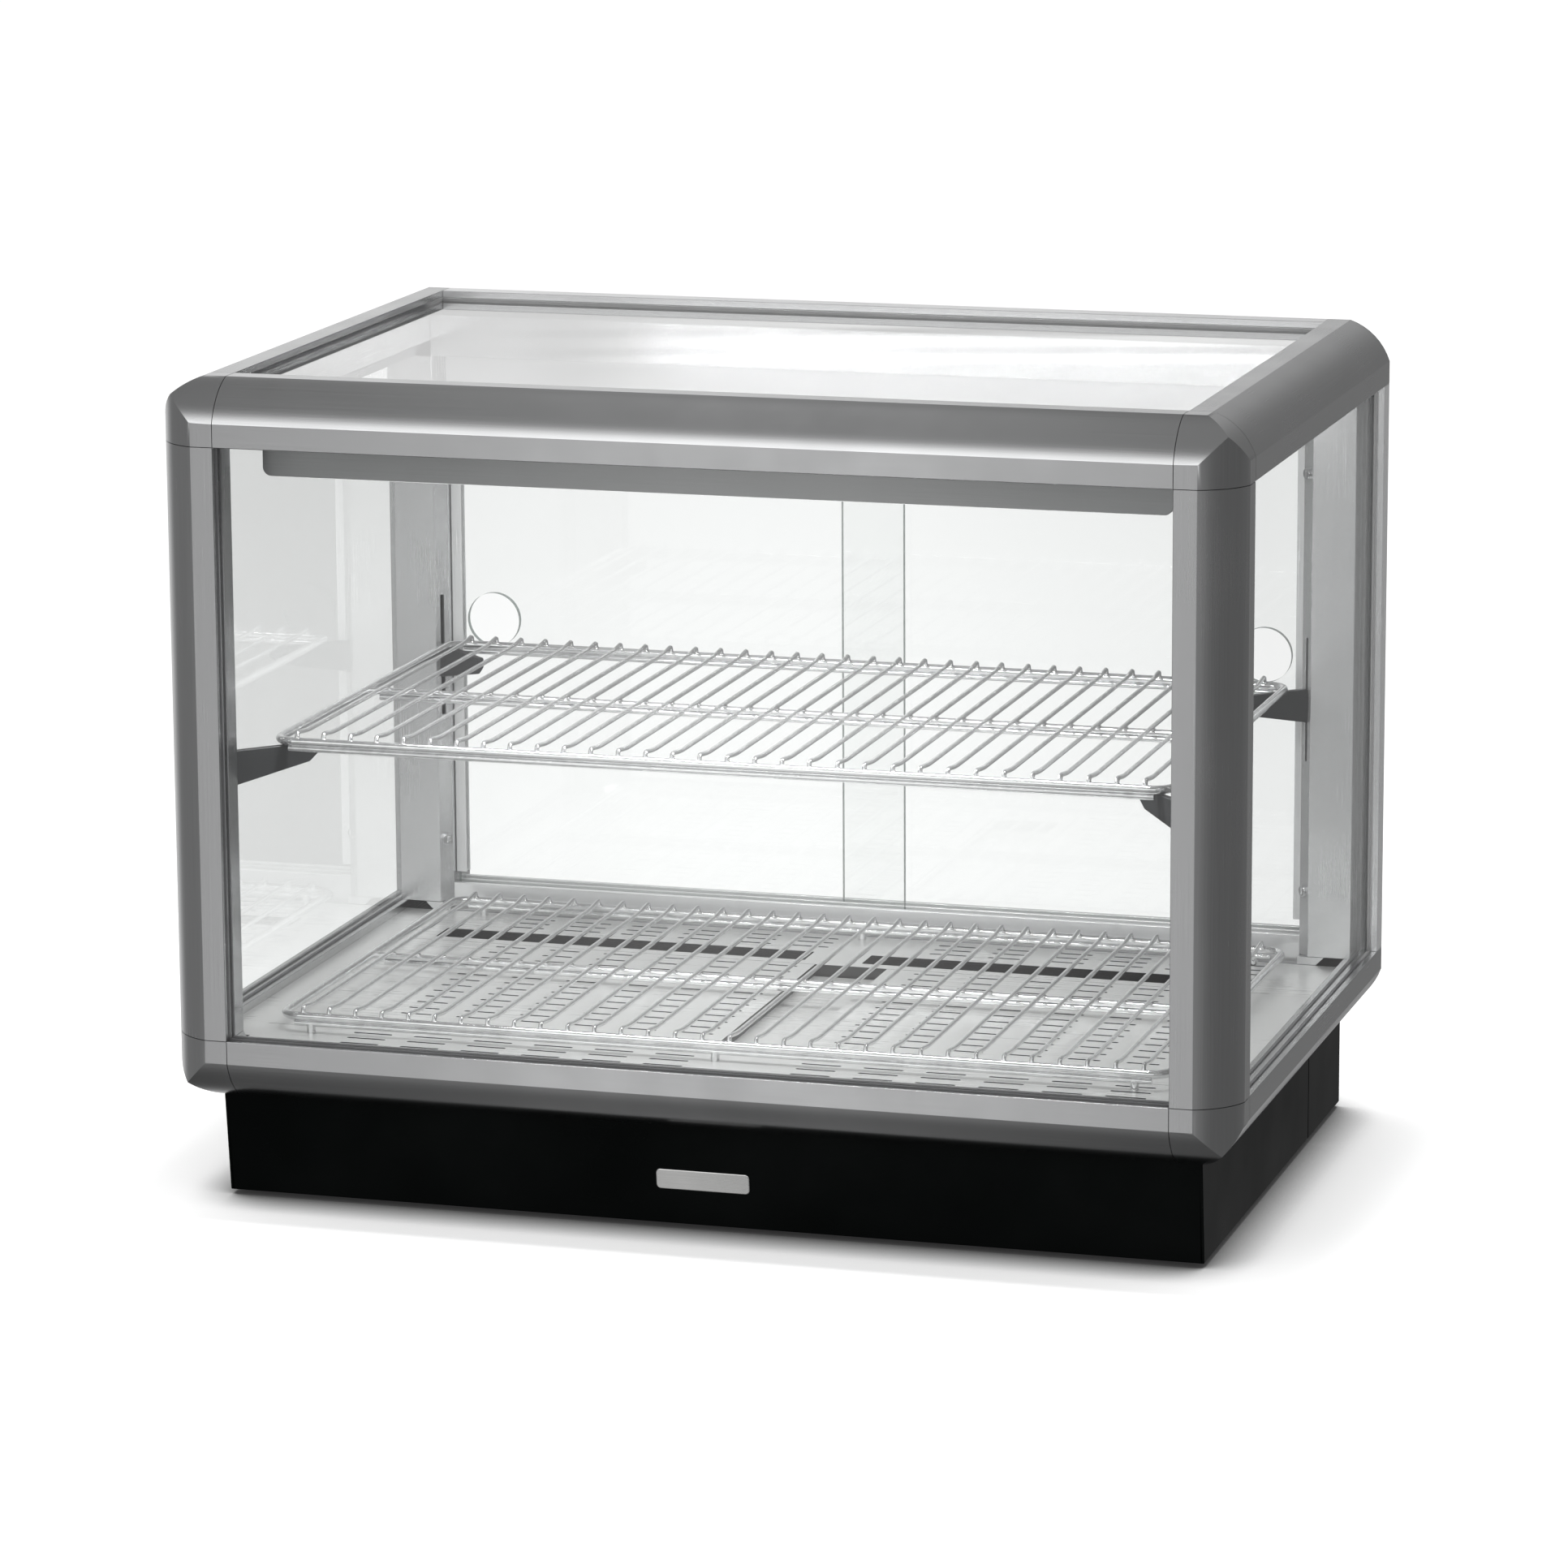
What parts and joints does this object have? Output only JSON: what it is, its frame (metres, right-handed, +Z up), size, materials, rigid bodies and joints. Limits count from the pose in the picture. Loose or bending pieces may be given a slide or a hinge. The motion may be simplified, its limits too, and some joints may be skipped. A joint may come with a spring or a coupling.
{
  "type": "countertop display case",
  "caption": "Countertop glass food display case: rounded aluminium frame, sliding rear glass doors, two wire shelves, slotted steel floor, lit canopy and black electrical plinth",
  "frame": {"origin": "on the counter under the middle of the case's bounding box", "axes": "+X to the right seen from the front, +Y towards the rear service doors, +Z up"},
  "size_m": [0.75, 0.48, 0.575],
  "materials": {
    "frame_aluminium": "brushed, clear anodised extrusion with crisp arrises",
    "corner_casting": "brushed casting blended to the extrusions",
    "inner_frame": "satin anodised extrusion",
    "clear_glass": "clear tempered glass with pale green edges",
    "black_rubber": "soft black seal and feet",
    "floor_steel": "brushed stainless sheet with slots",
    "shelf_chrome": "bright chrome-plated wire with spot welds",
    "black_enamel": "semi-gloss black enamel on sheet steel",
    "bracket_black": "satin dark grey powder coat",
    "zinc_screws": "bright zinc-plated",
    "canopy_paint": "satin silver enamel",
    "diffuser": "opal diffuser",
    "led_board": "white circuit board with emitters",
    "black_plastic": "moulded black plastic",
    "galvanised": "plain galvanised sheet",
    "heater_sheath": "heat-darkened steel sheath"
  },
  "bodies": {
    "case": {"base_plate": "galvanised", "cable_gland": "black_plastic", "canopy_diffuser": "diffuser", "canopy_housing": "canopy_paint", "control_panel": "black_enamel", "corner_front_bottom_left": "corner_casting", "corner_front_bottom_right": "corner_casting", "corner_front_top_left": "corner_casting", "corner_front_top_right": "corner_casting", "door_track_bottom": "inner_frame", "door_track_top": "inner_frame", "fan_motor": "black_plastic", "feet": "black_rubber", "floor_center_channel": "floor_steel", "floor_panel_left": "floor_steel", "floor_panel_right": "floor_steel", "floor_side_trims": "floor_steel", "front_bottom_rail": "frame_aluminium", "front_glass": "clear_glass", "front_post_left": "frame_aluminium", "front_post_right": "frame_aluminium", "front_top_rail": "frame_aluminium", "front_vent_strip": "floor_steel", "glass_seals": "black_rubber", "heating_element": "heater_sheath", "led_strip": "led_board", "panel_screws": "zinc_screws", "plinth_rear_panel": "black_enamel", "plinth_shell": "black_enamel", "rail_end_caps": "corner_casting", "rear_bottom_rail": "inner_frame", "rear_post_left": "inner_frame", "rear_post_right": "inner_frame", "rear_top_rail": "inner_frame", "rear_vent_strip": "floor_steel", "shelf_bracket_front_left": "bracket_black", "shelf_bracket_front_right": "bracket_black", "shelf_bracket_rear_left": "bracket_black", "shelf_bracket_rear_right": "bracket_black", "side_bottom_rail_left": "frame_aluminium", "side_bottom_rail_right": "frame_aluminium", "side_glass_left": "clear_glass", "side_glass_right": "clear_glass", "side_top_rail_left": "frame_aluminium", "side_top_rail_right": "frame_aluminium", "switch_bodies": "black_plastic", "thermostat": "black_plastic", "top_glass": "clear_glass"},
    "door_left": {"door_glass_left": "clear_glass", "door_fittings_left": "inner_frame"},
    "door_right": {"door_glass_right": "clear_glass", "door_fittings_right": "inner_frame"},
    "upper_shelf": {"upper_shelf_rim": "shelf_chrome", "upper_shelf_wires": "shelf_chrome"},
    "lower_shelf": {"lower_shelf_rim": "shelf_chrome", "lower_shelf_wires": "shelf_chrome"},
    "knob": {"thermostat_knob": "black_plastic"},
    "power_switch": {"power_rocker": "black_plastic"},
    "light_switch": {"light_rocker": "black_plastic"},
    "fan": {"fan_impeller": "black_plastic"}
  },
  "joints": [
    {"name": "door_left_slide", "type": "slide", "parent": "case", "child": "door_left", "axis": [1, 0, 0], "range_m": [0, 0.29]},
    {"name": "door_right_slide", "type": "slide", "parent": "case", "child": "door_right", "axis": [1, 0, 0], "range_m": [-0.29, 0]},
    {"name": "upper_shelf_lift", "type": "slide", "parent": "case", "child": "upper_shelf", "axis": [0, 0, 1], "range_m": [0, 0.04]},
    {"name": "lower_shelf_lift", "type": "slide", "parent": "case", "child": "lower_shelf", "axis": [0, 0, 1], "range_m": [0, 0.06]},
    {"name": "thermostat_turn", "type": "hinge", "parent": "case", "child": "knob", "pos_m": [0.08, 0.223, 0.04], "axis": [0, 1, 0], "range_deg": [0, 270]},
    {"name": "power_rock", "type": "hinge", "parent": "case", "child": "power_switch", "pos_m": [-0.02, 0.213, 0.04], "axis": [1, 0, 0], "range_deg": [-16, 0]},
    {"name": "light_rock", "type": "hinge", "parent": "case", "child": "light_switch", "pos_m": [-0.062, 0.213, 0.04], "axis": [1, 0, 0], "range_deg": [-16, 0]},
    {"name": "fan_spin", "type": "hinge", "parent": "case", "child": "fan", "pos_m": [-0.09, 0.06, 0.045], "axis": [0, 0, 1], "continuous": true}
  ]
}
